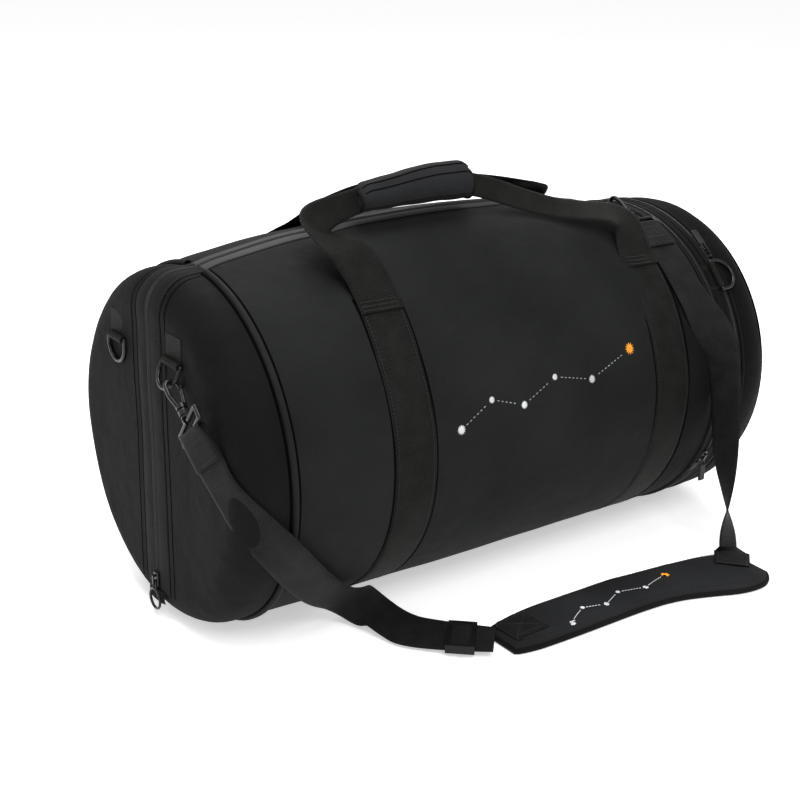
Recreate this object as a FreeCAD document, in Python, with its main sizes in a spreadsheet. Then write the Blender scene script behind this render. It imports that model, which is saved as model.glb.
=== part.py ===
import FreeCAD, Part
import math
import os
import Sketcher

# Padded telescope carry case: a soft barrel that lies along X and stands on the plane z = 0.
# The carrying side faces -Y, the accessory pocket is at the +X end, and +Z is up.
# The origin is on the standing plane, under the middle of the barrel. Lengths are in mm.

Vector = FreeCAD.Vector
document = FreeCAD.newDocument("telescope_carry_case")

# ---------------------------------------------------------------- driving dimensions
DIMENSIONS = {
    "barrel_radius": 160, "axis_height": 159.5, "left_face": -294, "left_round": 44,
    "barrel_right": 246, "skin": 0.9, "foam": 16.5, "lining": 1.0,
    "split_gap": 0.5, "hinge_height": 45, "notch_left": 206, "notch_rear": 64,
    "piping_radius": 2.4, "left_rim": -248, "right_rim": 249,
    "ring_right": 251.6, "cap_left": 252.4, "cap_right": 283.4,
    "lid_left": 284, "lid_right": 338, "lid_round": 34, "lid_wall": 8,
    "divider": 9, "cap_wall": 12, "divider_seat": 4,
    "webbing": 1.6, "webbing_width": 44, "left_webbing": -149, "right_webbing": 162,
    "webbing_top_angle": 35, "tape_width": 15, "tape": 1.1, "teeth_width": 3, "teeth": 1.0,
    "handle_webbing": 2.4, "handle_width": 25, "strap_width": 38, "strap": 1.8,
    "ring_wire": 1.7, "ring_inside": 32, "ring_drop": 22, "hook_wire": 2.1,
    "wrap_length": 126, "wrap_depth": 38, "wrap_rise": 40,
}
dims = document.addObject("Spreadsheet::Sheet", "dims")
for row, (alias, size) in enumerate(DIMENSIONS.items(), start=1):
    dims.set(f"A{row}", alias)
    dims.set(f"B{row}", str(size))
    dims.setAlias(f"B{row}", alias)
document.recompute()

subparts = []


def size(alias):
    """The number that a cell of the sheet holds."""
    return float(dims.get(alias))


def keep(feature, label):
    """Names a finished sub-part and puts it on the list that is written out."""
    feature.Label = label
    subparts.append(feature)
    return feature


def boolean(kind, name, base, tool):
    """Part::Cut or Part::Common of two document objects."""
    feature = document.addObject(kind, name)
    feature.Base = base
    feature.Tool = tool
    return feature


def block(name, x0, x1, y0, y1, z0, z1):
    """A box between two corners, each side given as an expression of the sheet."""
    feature = document.addObject("Part::Box", name)
    feature.setExpression("Length", f"({x1}) - ({x0})")
    feature.setExpression("Width", f"({y1}) - ({y0})")
    feature.setExpression("Height", f"({z1}) - ({z0})")
    feature.setExpression("Placement.Base.x", x0)
    feature.setExpression("Placement.Base.y", y0)
    feature.setExpression("Placement.Base.z", z0)
    return feature


def shaped(name, shape, place=None):
    """A Part::Feature for a form that neither a sketch nor a primitive gives."""
    feature = document.addObject("Part::Feature", name)
    feature.Shape = shape
    if place is not None:
        feature.Placement = place
    return feature


def origin_plane(body, role):
    """The origin plane of a body that has the given role."""
    return next(plane for plane in body.Origin.OriginFeatures if plane.Role == role)


def revolved(name, outline):
    """A body turned about the barrel's axis from a closed outline of (x, radius) corners.

    A corner is (x, radius) or (x, radius, arc radius): the last one ends an arc that bulges
    away from the axis. Each coordinate is an expression of the sheet.
    """
    body = document.addObject("PartDesign::Body", name)
    sketch = body.newObject("Sketcher::SketchObject", name + "_outline")
    sketch.AttachmentSupport = [(origin_plane(body, "XZ_Plane"), "")]
    sketch.MapMode = "FlatFace"
    number = lambda text: float(body.evalExpression(text))
    corners = [Vector(number(c[0]), number(c[1]), 0) for c in outline]
    ends = []
    for index, corner in enumerate(outline):
        start, end = corners[index - 1], corners[index]
        if len(corner) == 2:
            sketch.addGeometry(Part.LineSegment(start, end))
            ends.append((1, 2))
            continue
        radius = number(corner[2])
        chord = end - start
        rise = math.sqrt(radius ** 2 - (chord.Length / 2) ** 2)
        side = Vector(-chord.y, chord.x, 0).normalize()
        middle = (start + end) / 2
        centre = min((middle + side * rise, middle - side * rise), key=lambda point: point.y)
        angles = [round(math.atan2(point.y - centre.y, point.x - centre.x), 6) % (2 * math.pi)
                  for point in (start, end)]
        ends.append((1, 2) if angles[0] < angles[1] else (2, 1))
        circle = Part.Circle(centre, Vector(0, 0, 1), radius)
        sketch.addGeometry(Part.ArcOfCircle(circle, min(angles), max(angles)))
    for index, corner in enumerate(outline):
        following = (index + 1) % len(outline)
        sketch.addConstraint(Sketcher.Constraint(
            "Coincident", index, ends[index][1], following, ends[following][0]))
        for kind, text, coordinate in (
            ("DistanceX", corner[0], corners[index].x),
            ("DistanceY", corner[1], corners[index].y),
        ):
            number_of = sketch.addConstraint(
                Sketcher.Constraint(kind, -1, 1, index, ends[index][1], coordinate))
            sketch.setExpression(f"Constraints[{number_of}]", text)
        if len(corner) == 3:
            number_of = sketch.addConstraint(
                Sketcher.Constraint("Radius", index, number(corner[2])))
            sketch.setExpression(f"Constraints[{number_of}]", corner[2])
    turn = body.newObject("PartDesign::Revolution", name + "_turn")
    turn.Profile = sketch
    turn.ReferenceAxis = (sketch, ["H_Axis"])
    turn.Angle = 360
    body.setExpression("Placement.Base.z", "dims.axis_height")
    return body


def sector(name, inner, outer, x0, x1, start_angle, sweep):
    """Part of a ring about the barrel's axis, between two angles from the top.

    Angles are in degrees and grow from the top towards the carrying side.
    """
    axis = Vector(1, 0, 0)
    base = Vector(x0, 0, size("axis_height"))
    turn = FreeCAD.Rotation(axis, start_angle)
    direction = turn.multVec(Vector(0, 0, 1))
    corners = [
        base + direction * inner,
        base + direction * outer,
        base + direction * outer + Vector(x1 - x0, 0, 0),
        base + direction * inner + Vector(x1 - x0, 0, 0),
    ]
    face = Part.Face(Part.makePolygon(corners + corners[:1]))
    return shaped(name, face.revolve(base, axis, sweep))


def tube_along(points, radius, closed=False):
    """A round bar along straight runs, with a ball at each corner."""
    runs = list(zip(points, points[1:] + points[:1] if closed else points[1:]))
    solids = [Part.makeCylinder(radius, (b - a).Length, a, b - a) for a, b in runs]
    corners = points if closed else points[1:-1]
    solids += [Part.makeSphere(radius, corner) for corner in corners]
    return solids[0].fuse(solids[1:]).removeSplitter() if solids[1:] else solids[0]


def smoothed(stations, steps):
    """Extra stations on smooth curves through the given ones."""
    closer = []
    for index in range(len(stations) - 1):
        around = [stations[min(max(index + k, 0), len(stations) - 1)] for k in (-1, 0, 1, 2)]
        for step in range(steps):
            t = step / steps
            weights = (-t + 2 * t ** 2 - t ** 3, 2 - 5 * t ** 2 + 3 * t ** 3,
                       t + 4 * t ** 2 - 3 * t ** 3, t ** 3 - t ** 2)
            closer.append(tuple(
                sum((item[part] * (w / 2) for item, w in zip(around, weights)), Vector())
                for part in (0, 1)))
    return closer + [stations[-1]]


def ribbon(stations, width, thickness):
    """A flat band of flat facets through stations of (centre, direction across the band)."""
    sections = []
    for index, (centre, across) in enumerate(stations):
        before = stations[max(index - 1, 0)][0]
        after = stations[min(index + 1, len(stations) - 1)][0]
        along = (after - before).normalize()
        across = (across - along * across.dot(along)).normalize()
        half, rise = across * (width / 2), along.cross(across) * (thickness / 2)
        sections.append([centre - half - rise, centre + half - rise,
                         centre + half + rise, centre - half + rise])
    triangles = []
    for near, far in zip(sections, sections[1:]):
        for k, diagonal in ((0, True), (1, True), (2, False), (3, True)):
            a, b, c, d = near[k], near[(k + 1) % 4], far[(k + 1) % 4], far[k]
            triangles += [(a, b, c), (a, c, d)] if diagonal else [(b, c, d), (b, d, a)]
    for end in (sections[0], sections[-1]):
        triangles += [(end[0], end[1], end[2]), (end[0], end[2], end[3])]
    shell = Part.Shell([Part.Face(Part.makePolygon([*three, three[0]])) for three in triangles])
    solid = Part.Solid(shell)
    return solid if solid.Volume > 0 else solid.reversed()


def on_barrel(x, angle, lift=0.0):
    """A point over the barrel's skin, at an angle from the top towards the carrying side."""
    turn = math.radians(angle)
    reach = size("barrel_radius") + lift
    return Vector(x, -reach * math.sin(turn), size("axis_height") + reach * math.cos(turn))


# ---------------------------------------------------------------- padded walls
def wall(name, depth, thickness):
    """One layer of the barrel and its closed left end, a given depth below the skin."""
    depth = f"({depth})"
    inside = f"({depth} + {thickness})"
    return revolved(name, [
        (f"dims.left_face + {depth}", "0"),
        (f"dims.left_face + {depth}", "dims.barrel_radius - dims.left_round"),
        ("dims.left_face + dims.left_round", f"dims.barrel_radius - {depth}", f"dims.left_round - {depth}"),
        ("dims.barrel_right", f"dims.barrel_radius - {depth}"),
        ("dims.barrel_right", f"dims.barrel_radius - {inside}"),
        ("dims.left_face + dims.left_round", f"dims.barrel_radius - {inside}"),
        (f"dims.left_face + {inside}", "dims.barrel_radius - dims.left_round", f"dims.left_round - {inside}"),
        (f"dims.left_face + {inside}", "0"),
    ])


def split(label, source, rear):
    """Cuts a layer at the top zip, the hinge line and the patch at the zip's right end."""
    gap = "0" if rear else "dims.split_gap"
    flap = block(label + "_flap_room", "dims.left_face - 20", "dims.barrel_right + 20",
                 f"dims.split_gap - {gap}", "dims.barrel_radius + 20",
                 f"dims.hinge_height + dims.split_gap - {gap}", "2 * dims.axis_height + 20")
    notch = block(label + "_notch", f"dims.notch_left - dims.split_gap + {gap}", "dims.barrel_right + 30",
                  "-10", f"dims.notch_rear + dims.split_gap - {gap}",
                  "1.5 * dims.axis_height", "2 * dims.axis_height + 30")
    region = boolean("Part::Cut", label + "_region", flap, notch)
    kind = "Part::Common" if rear else "Part::Cut"
    return keep(boolean(kind, label, source, region), label)


def flattened(name, feature):
    """Cuts away what would reach below the standing plane, where the case's weight presses it flat."""
    ground = block(name + "_ground", "dims.left_face - 50", "dims.lid_right + 50",
                   "-dims.barrel_radius", "dims.barrel_radius", "-60", "0")
    return boolean("Part::Cut", name, feature, ground)


LAYERS = {
    "shell": ("0", "dims.skin"),
    "foam": ("dims.skin", "dims.foam"),
    "lining": ("dims.skin + dims.foam", "dims.lining"),
}
for layer, (depth, thickness) in LAYERS.items():
    source = flattened(layer + "_flat", wall(layer + "_layer", depth, thickness))
    split("front_" + layer, source, rear=False)
    split("rear_" + layer, source, rear=True)

# ---------------------------------------------------------------- right ring, cap and pocket lid
right_ring = revolved("right_ring_body", [
    ("dims.barrel_right", "dims.barrel_radius - dims.skin - dims.foam"),
    ("dims.barrel_right", "dims.barrel_radius"),
    ("dims.ring_right", "dims.barrel_radius"),
    ("dims.ring_right", "dims.barrel_radius - dims.skin - dims.foam"),
])
keep(flattened("right_ring", right_ring), "right_ring")

cap_band = revolved("cap_band_body", [
    ("dims.cap_left + dims.divider", "dims.barrel_radius - dims.cap_wall"),
    ("dims.cap_left + dims.divider", "dims.barrel_radius - dims.divider_seat"),
    ("dims.cap_left", "dims.barrel_radius - dims.divider_seat"),
    ("dims.cap_left", "dims.barrel_radius"),
    ("dims.cap_right", "dims.barrel_radius"),
    ("dims.cap_right", "dims.barrel_radius - dims.cap_wall"),
])
keep(flattened("cap_band", cap_band), "cap_band")

divider_panel = revolved("divider_panel_body", [
    ("dims.cap_left", "0"),
    ("dims.cap_left", "dims.barrel_radius - dims.divider_seat"),
    ("dims.cap_left + dims.divider", "dims.barrel_radius - dims.divider_seat"),
    ("dims.cap_left + dims.divider", "0"),
])
keep(divider_panel, "divider_panel")

pocket_lid = revolved("pocket_lid_body", [
    ("dims.lid_right - dims.lid_wall", "0"),
    ("dims.lid_right - dims.lid_wall", "dims.barrel_radius - dims.lid_round"),
    ("dims.lid_right - dims.lid_round", "dims.barrel_radius - dims.lid_wall",
     "dims.lid_round - dims.lid_wall"),
    ("dims.lid_left", "dims.barrel_radius - dims.lid_wall"),
    ("dims.lid_left", "dims.barrel_radius"),
    ("dims.lid_right - dims.lid_round", "dims.barrel_radius"),
    ("dims.lid_right", "dims.barrel_radius - dims.lid_round", "dims.lid_round"),
    ("dims.lid_right", "0"),
])
keep(flattened("pocket_lid_shell", pocket_lid), "pocket_lid_shell")

# ---------------------------------------------------------------- pipings on the rims
RADIUS = size("barrel_radius")
PROUD = 0.02
HINGE_ANGLE = math.degrees(math.acos((size("hinge_height") - size("axis_height")) / RADIUS))


def piping(name, rim, start_angle, sweep):
    """A half-round cord on the skin at one rim, between two angles from the top."""
    base = Vector(rim, 0, size("axis_height"))
    out = FreeCAD.Rotation(Vector(1, 0, 0), start_angle).multVec(Vector(0, 0, 1))
    foot = base + out * (RADIUS + PROUD)
    half = Vector(size("piping_radius"), 0, 0)
    edge = Part.Arc(foot - half, foot + out * size("piping_radius"), foot + half).toShape()
    section = Part.Face(Part.Wire([edge, Part.makeLine(foot + half, foot - half)]))
    return shaped(name, section.revolve(base, Vector(1, 0, 0), sweep))


PIPING_TOP = 6
PIPING_HINGE_GAP = 1.5
front_sweep = 360 - HINGE_ANGLE - PIPING_HINGE_GAP - PIPING_TOP
front_piping = piping("left_piping_front_ring", size("left_rim"), PIPING_TOP, front_sweep)
keep(flattened("left_piping_front", front_piping), "left_piping_front")
rear_piping = piping("left_piping_rear_ring", size("left_rim"), 360 - HINGE_ANGLE + PIPING_HINGE_GAP,
                     HINGE_ANGLE - PIPING_HINGE_GAP - PIPING_TOP)
keep(rear_piping, "left_piping_rear")
right_piping = piping("right_piping_ring", size("right_rim"), 0, 360)
keep(flattened("right_piping", right_piping), "right_piping")

# ---------------------------------------------------------------- webbing round the barrel
WEBBING_HINGE_GAP = 0.5
for side in ("left", "right"):
    start = size(side + "_webbing")
    stop = start + size("webbing_width")
    top = size("webbing_top_angle")
    inner, outer = RADIUS + PROUD, RADIUS + size("webbing")
    front = sector(side + "_front_ring", inner, outer, start, stop, top,
                   360 - HINGE_ANGLE - top - WEBBING_HINGE_GAP)
    keep(flattened(side + "_front_webbing", front), side + "_front_webbing")
    rear = sector(side + "_rear_ring", inner, outer, start, stop,
                  360 - HINGE_ANGLE + WEBBING_HINGE_GAP, HINGE_ANGLE - top - WEBBING_HINGE_GAP)
    keep(rear, side + "_rear_webbing")

# ---------------------------------------------------------------- main zip: tapes and teeth
for part, half, outer_layer in (
    ("zip_tape", "dims.tape_width", ("0 - dims.tape", "dims.tape - 0.02")),
    ("zip_teeth", "dims.teeth_width", ("0 - dims.tape - dims.teeth", "dims.teeth - 0.02")),
):
    layer = wall(part + "_layer", *outer_layer)
    for side, low, high in (("front", f"-{half}", "-0.2"), ("rear", "0.7", f"0.7 + {half}")):
        slab = block(f"{part}_{side}_slab", "dims.left_face - 20", "dims.notch_left - 2", low, high,
                     "dims.hinge_height + 1", "2 * dims.axis_height + 20")
        name = f"{part}_{side}"
        keep(boolean("Part::Common", name, layer, slab), name)

keep(block("main_zip_garage", "dims.left_face - 3.4", "dims.left_face - 0.02", "-15", "15",
           "18", "24"), "main_zip_garage")

# ---------------------------------------------------------------- zip tracks of the cap and the pocket
for name, x0, x1 in (("cap_zip_track", 252.6, 256.0), ("pocket_zip_track", 280.0, 283.2)):
    track = sector(name + "_ring", RADIUS + PROUD, RADIUS + 1.2, x0, x1, 0, 360)
    keep(flattened(name, track), name)


# ---------------------------------------------------------------- frames for hardware
def frame(origin, hang, outward):
    """A placement whose -Z is the way a ring hangs and whose +X faces away from the skin."""
    down = Vector(hang).normalize()
    out = Vector(outward) - down * Vector(outward).dot(down)
    out.normalize()
    up = down * -1
    across = up.cross(out)
    return FreeCAD.Placement(Vector(origin), FreeCAD.Rotation(out, across, up, "ZXY"))


def outward_at(angle):
    """The way out of the barrel at an angle from the top."""
    return Vector(0, -math.sin(math.radians(angle)), math.cos(math.radians(angle)))


def along_at(angle):
    """The way round the barrel, towards the carrying side."""
    return Vector(0, -math.cos(math.radians(angle)), -math.sin(math.radians(angle)))


# ---------------------------------------------------------------- D-rings and their tabs
WIRE = size("ring_wire")
TAB_LOOP = 3.4
TAB_CLEARANCE = 0.08


def ring_tab(name, place, patch_length):
    """Folded webbing sewn on the skin, with a loop that the ring's bar turns in."""
    half = size("ring_inside") / 2 - 2
    loop = Part.makeCylinder(TAB_LOOP, 2 * half, Vector(0, -half, 0), Vector(0, 1, 0))
    patch = Part.makeBox(size("webbing"), 2 * half, patch_length, Vector(-TAB_LOOP + 0.02, -half, 0))
    bore = Part.makeCylinder(WIRE + TAB_CLEARANCE, 4 * half, Vector(0, -2 * half, 0), Vector(0, 1, 0))
    return keep(shaped(name, loop.fuse(patch).cut(bore), place), name)


def d_ring(name, place):
    """A D-ring of round wire: straight bar along Y, bow towards -Z."""
    half, straight = size("ring_inside") / 2, size("ring_drop") - size("ring_inside") / 2
    bar = tube_along([Vector(0, -half, -straight), Vector(0, -half, 0), Vector(0, half, 0),
                      Vector(0, half, -straight)], WIRE)
    disc = Part.Face(Part.Wire(Part.makeCircle(WIRE, Vector(0, half, -straight), Vector(0, 0, 1))))
    bow = disc.revolve(Vector(0, 0, -straight), Vector(-1, 0, 0), 180)
    return keep(shaped(name, bar.fuse(bow).removeSplitter(), place), name)


FACE = size("left_face")
left_front_tab_place = frame((FACE - TAB_LOOP, -46, 256), (0, 0, -1), (-1, 0, 0))
left_ring_place = frame(left_front_tab_place.Base, (-0.423, 0, -0.906), (-1, 0, 0))
left_rear_tab_place = frame((FACE - TAB_LOOP, 62, 250), (0, 0, -1), (-1, 0, 0))
right_front_tab_place = frame(on_barrel(276, 48, TAB_LOOP), (1, 0, 0), outward_at(48))
TOP_RING_X, TOP_RING_ANGLE = 227, -2
top_tab_place = frame(on_barrel(TOP_RING_X, TOP_RING_ANGLE, TAB_LOOP + 0.2), along_at(TOP_RING_ANGLE),
                      outward_at(TOP_RING_ANGLE))
top_ring_place = frame(top_tab_place.Base, (0, -0.968, 0.25), (0, 0.25, 0.968))

ring_tab("left_front_tab", left_front_tab_place, 24)
ring_tab("left_rear_tab", left_rear_tab_place, 24)
ring_tab("right_front_tab", right_front_tab_place, 14)
ring_tab("top_tab", top_tab_place, 22)
d_ring("left_front_d_ring", left_ring_place)
d_ring("left_rear_d_ring", left_rear_tab_place)
d_ring("right_front_d_ring", right_front_tab_place)
d_ring("top_d_ring", top_ring_place)

# ---------------------------------------------------------------- swivel snap hooks
HOOK = size("hook_wire")
CROOK = 6.2
HOOK_REACH = 46
STEM = 2.5
STEM_CLEARANCE = 0.08
HOOK_SLACK = 1.9


def snap_hook(side, place):
    """A swivel snap hook, its sprung gate and the loop that holds the strap.

    The middle of the crook is at the origin, the strap's bar is HOOK_REACH below it.
    """
    disc = Part.Face(Part.Wire(Part.makeCircle(HOOK, Vector(CROOK, 0, 0), Vector(0, 0, 1))))
    crook = disc.revolve(Vector(), Vector(0, -1, 0), 180)
    back = tube_along([Vector(CROOK, 0, 0), Vector(CROOK, 0, -8), Vector(3.2, 0, -19)], HOOK)
    tip = Part.makeCylinder(HOOK, 2.5, Vector(-CROOK, 0, -2.5), Vector(0, 0, 1))
    base = Part.makeCylinder(5, 4, Vector(0, 0, -23), Vector(0, 0, 1))
    stem = Part.makeCylinder(STEM, 8, Vector(0, 0, -31), Vector(0, 0, 1))
    head = Part.makeCylinder(3.9, 1.6, Vector(0, 0, -31.6), Vector(0, 0, 1))
    hook = crook.fuse([back, tip, base, stem, head]).removeSplitter()
    slot = Part.makeBox(5, 3.4, 5, Vector(-6.5, -1.7, -21.4))
    keep(shaped(side + "_snap_hook", hook.cut(slot), place), side + "_snap_hook")

    gate = tube_along([Vector(-4.2, 0, -18.6), Vector(-CROOK, 0, -3.1)], 1.5)
    foot = Part.makeSphere(1.65, Vector(-4.2, 0, -18.6))
    keep(shaped(side + "_hook_gate", gate.fuse(foot).removeSplitter(), place), side + "_hook_gate")

    collar = Part.makeCylinder(4.6, 5.4, Vector(0, 0, -29.4), Vector(0, 0, 1))
    bore = Part.makeCylinder(STEM + STEM_CLEARANCE, 20, Vector(0, 0, -40), Vector(0, 0, 1))
    half = size("strap_width") / 2 + 3
    corners = [Vector(0, -half, -35), Vector(0, half, -35), Vector(0, half, -HOOK_REACH),
               Vector(0, -half, -HOOK_REACH)]
    loop = tube_along(corners, WIRE + 0.3, closed=True)
    arms = [Part.makeBox(3, 2, 9, Vector(-1.5, y, -35)) for y in (-6.3, 4.3)]
    eye = collar.fuse([loop, *arms]).cut(bore)
    keep(shaped(side + "_strap_loop", eye.removeSplitter(), place), side + "_strap_loop")


left_hook_way = Vector(-0.05, -0.8, -0.6)
left_pull = left_ring_place.multVec(Vector(0, 12.8, -15.6))
left_hook_place = frame(left_pull + left_hook_way * HOOK_SLACK, left_hook_way, (-1, 0, 0))
right_hook_way = Vector(0, -0.953, -0.303)
top_pull = top_ring_place.multVec(Vector(0, 0, -size("ring_drop")))
right_hook_place = frame(top_pull + right_hook_way * HOOK_SLACK, right_hook_way, (0, -0.303, 0.953))
snap_hook("left", left_hook_place)
snap_hook("right", right_hook_place)


# ---------------------------------------------------------------- zip sliders and pulls
def slider(name, place):
    """A zip slider: a body over the teeth with a bridge for the pull. +X faces out."""
    body = Part.makeBox(2.6, 8, 14, Vector(0, -4, -7))
    body = body.makeFillet(1.0, body.Edges)
    bridge = Part.makeBox(3.6, 2.4, 9, Vector(2.0, -1.2, -4.5))
    window = Part.makeBox(1.7, 4, 5.4, Vector(2.65, -2, -2.7))
    return keep(shaped(name, body.fuse(bridge).cut(window).removeSplitter(), place), name)


def ring_pull(name, place, ring_radius):
    """A wire ring that hangs from a short link. The link's pin is at the origin, along Y."""
    link = [Vector(0, -2.2, 0), Vector(0, 2.2, 0), Vector(0, 2.2, -8), Vector(0, -2.2, -8)]
    shape = tube_along(link, 0.8, closed=True)
    ring = Part.makeTorus(ring_radius, 1.3, Vector(0, 0, -8 - ring_radius), Vector(1, 0, 0))
    return keep(shaped(name, shape.fuse(ring).removeSplitter(), place), name)


def tape_pull(name, place, length):
    """A wire link with a flat moulded grip. The link's pin is at the origin, along Y."""
    link = [Vector(0, -2.2, 0), Vector(0, 2.2, 0), Vector(0, 2.2, -9), Vector(0, -2.2, -9)]
    shape = tube_along(link, 0.8, closed=True)
    grip = Part.makeBox(2.6, 8, length, Vector(-1.3, -4, -7 - length))
    grip = grip.makeFillet(1.2, grip.Edges)
    return keep(shaped(name, shape.fuse(grip).removeSplitter(), place), name)


SLIDER_LIFT = 0.3
main_face = FACE - size("tape") - size("teeth") - SLIDER_LIFT
slider("main_zip_slider", frame((main_face, 0, 36), (0, 0, -1), (-1, 0, 0)))
ring_pull("main_ring_pull", frame((main_face - 3.5, 0, 34.2), (0, 0, -1), (-1, 0, 0)), 9.5)

RING_ZIP_ANGLE, POCKET_ZIP_ANGLE = 118, 38
TRACK_LIFT = 1.5
for name, angle, x, front, way in (
    ("ring_zip", RING_ZIP_ANGLE, 256.2, 1, Vector(0, 0, -1)),
    ("pocket_zip", POCKET_ZIP_ANGLE, 280.6, -1, along_at(POCKET_ZIP_ANGLE) * -1),
):
    slider(name + "_slider", frame(on_barrel(x, angle, TRACK_LIFT), along_at(angle), outward_at(angle)))
    pin = on_barrel(x, angle, TRACK_LIFT + 3.5) + along_at(angle) * 1.8 * front
    tape_pull(name + "_pull", frame(pin, way, outward_at(angle)), 18)
keep(sector("ring_zip_garage", RADIUS + 1.2 + PROUD, RADIUS + 3, 252, 260, RING_ZIP_ANGLE + 4, 5),
     "ring_zip_garage")


# ---------------------------------------------------------------- carry handles
def handle_stations(side):
    """The front handle's route, or the rear handle's, which stands lower and behind it."""
    sign = 1 if side == "front" else -1
    drop = 0 if side == "front" else 14
    left = [on_barrel(-127, sign * angle, lift) for angle, lift in ((42, 3.2), (36, 3.4), (32, 6))]
    right = [on_barrel(184, sign * angle, lift) for angle, lift in ((32, 6), (36, 3.4), (42, 3.2))]
    grip_y = -24 if side == "front" else 17
    across = Vector(1, 0, 0)
    upright = Vector(0, 0.25, 1)
    rise = [
        (Vector(-138, -sign * 74, 328 - drop), Vector(1, 0, -0.1)),
        (Vector(-150, -sign * 58, 350 - drop), Vector(1, 0.2, 0.4)),
        (Vector(-138, (-sign * 46 + grip_y) / 2, 366 - drop), Vector(0.5, 0.4, 0.9)),
        (Vector(-104, grip_y, 373 - drop), upright),
        (Vector(20, grip_y, 374 - drop), upright),
        (Vector(64, grip_y - 3 * sign, 362 - drop), upright),
        (Vector(112, grip_y - 10 * sign, 348 - drop), upright),
        (Vector(160, -sign * 50, 341 - drop), Vector(0.3, 0.6, 0.7)),
        (Vector(188, -sign * 66, 332 - drop / 2), Vector(0.9, 0.3, 0.3)),
        (Vector(191, -sign * 80, 315 - drop / 2), across),
    ]
    return [(p, across) for p in left] + rise + [(p, across) for p in right]


HANDLE_THICKNESS = size("handle_webbing")
front_handle = ribbon(smoothed(handle_stations("front"), 3), size("handle_width"), HANDLE_THICKNESS)
keep(shaped("front_handle_webbing", front_handle), "front_handle_webbing")
rear_handle = ribbon(smoothed(handle_stations("rear"), 3), size("handle_width"), HANDLE_THICKNESS)
keep(shaped("rear_handle_webbing", rear_handle), "rear_handle_webbing")

WRAP_LEFT, WRAP_MIDDLE_Y, WRAP_LOW = -103, -24, 356
WRAP_ROUND = 14
wrap = Part.makeBox(size("wrap_length"), size("wrap_depth"), size("wrap_rise"),
                    Vector(WRAP_LEFT, WRAP_MIDDLE_Y - size("wrap_depth") / 2, WRAP_LOW))
wrap = wrap.makeFillet(WRAP_ROUND, wrap.Edges)
keep(shaped("handle_wrap", wrap.cut(front_handle)), "handle_wrap")

# ---------------------------------------------------------------- shoulder strap and pad
left_bar = left_hook_place.multVec(Vector(0, 0, -HOOK_REACH))
right_bar = right_hook_place.multVec(Vector(0, 0, -HOOK_REACH))
left_run = [
    (left_bar, Vector(0, -0.6, 0.8)),
    (Vector(-301, -112, 194), Vector(0.2, -0.55, 0.82)),
    (Vector(-297, -131, 171), Vector(0.35, -0.45, 0.82)),
    (Vector(-286, -152, 148), Vector(0.45, -0.3, 0.84)),
    (Vector(-264, -163, 120), Vector(0.62, -0.1, 0.78)),
    (Vector(-231, -150, 80), Vector(0.78, -0.31, 0.54)),
    (Vector(-196, -128, 45), Vector(0.85, -0.35, 0.39)),
    (Vector(-165, -116, 27), Vector(0.9, -0.3, 0.3)),
    (Vector(-144, -124, 15), Vector(1, -0.1, 0.1)),
    (Vector(-138, -148, 9), Vector(1, 0.3, 0)),
    (Vector(-132, -175, 9), Vector(0.66, 0.75, 0)),
    (Vector(-80, -221, 9), Vector(0.66, 0.75, 0)),
]
right_run = [
    (right_bar, Vector(1, 0, 0)),
    (Vector(227, -80, 305), Vector(1, 0, 0)),
    (Vector(227, -105, 288), Vector(1, 0, 0)),
    (Vector(228, -128, 265), Vector(1, -0.1, -0.1)),
    (Vector(233, -150, 240), Vector(0.8, -0.5, -0.3)),
    (Vector(238, -175, 206), Vector(0.25, -0.96, 0.1)),
    (Vector(240, -183, 150), Vector(0, -1, 0)),
    (Vector(240, -188, 100), Vector(-0.1, -1, 0)),
    (Vector(238, -198, 55), Vector(-0.6, -0.8, 0)),
    (Vector(232, -208, 28), Vector(-0.95, -0.3, 0)),
    (Vector(228, -214, 14), Vector(-0.95, -0.3, 0)),
]
left_stations = smoothed(left_run[:-1], 3) + left_run[-1:]
left_strap = ribbon(left_stations, size("strap_width"), size("strap"))
right_strap = ribbon(smoothed(right_run, 3), size("strap_width"), size("strap"))
keep(shaped("strap_left_run", left_strap), "strap_left_run")
keep(shaped("strap_right_run", right_strap), "strap_right_run")

PAD_OUTLINE = [
    (-78, -240), (-30, -246), (75, -246), (150, -253), (185, -275), (212, -275), (232, -255),
    (234, -228), (217, -211), (176, -198), (76, -189), (-21, -187), (-62, -200),
]
PAD_THICKNESS = 12
pad_face = Part.Face(Part.makePolygon([Vector(x, y, 0) for x, y in PAD_OUTLINE + PAD_OUTLINE[:1]]))
shoulder_pad = pad_face.extrude(Vector(0, 0, PAD_THICKNESS)).cut(ribbon(left_stations, 40, 3))
keep(shaped("shoulder_pad", shoulder_pad), "shoulder_pad")

strap_way = (left_run[-1][0] - left_run[-2][0]).normalize()
ADJUSTER_ALONG = 40
adjuster_place = frame(left_run[-2][0] + strap_way * ADJUSTER_ALONG, strap_way * -1, (0, 0, 1))
half = size("strap_width") / 2
rails = [Part.makeBox(8, 3, 26, Vector(-4, y, -13)) for y in (-half - 3.6, half + 0.6)]
bars = [Part.makeBox(2.4, 2 * half + 4, 4, Vector(1.6, -half - 2, z)) for z in (-13, 9)]
bars.append(Part.makeBox(2.4, 2 * half + 4, 5, Vector(-4, -half - 2, -2.5)))
adjuster = rails[0].fuse([rails[1], *bars]).removeSplitter()
keep(shaped("slide_adjuster", adjuster, adjuster_place), "slide_adjuster")

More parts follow.
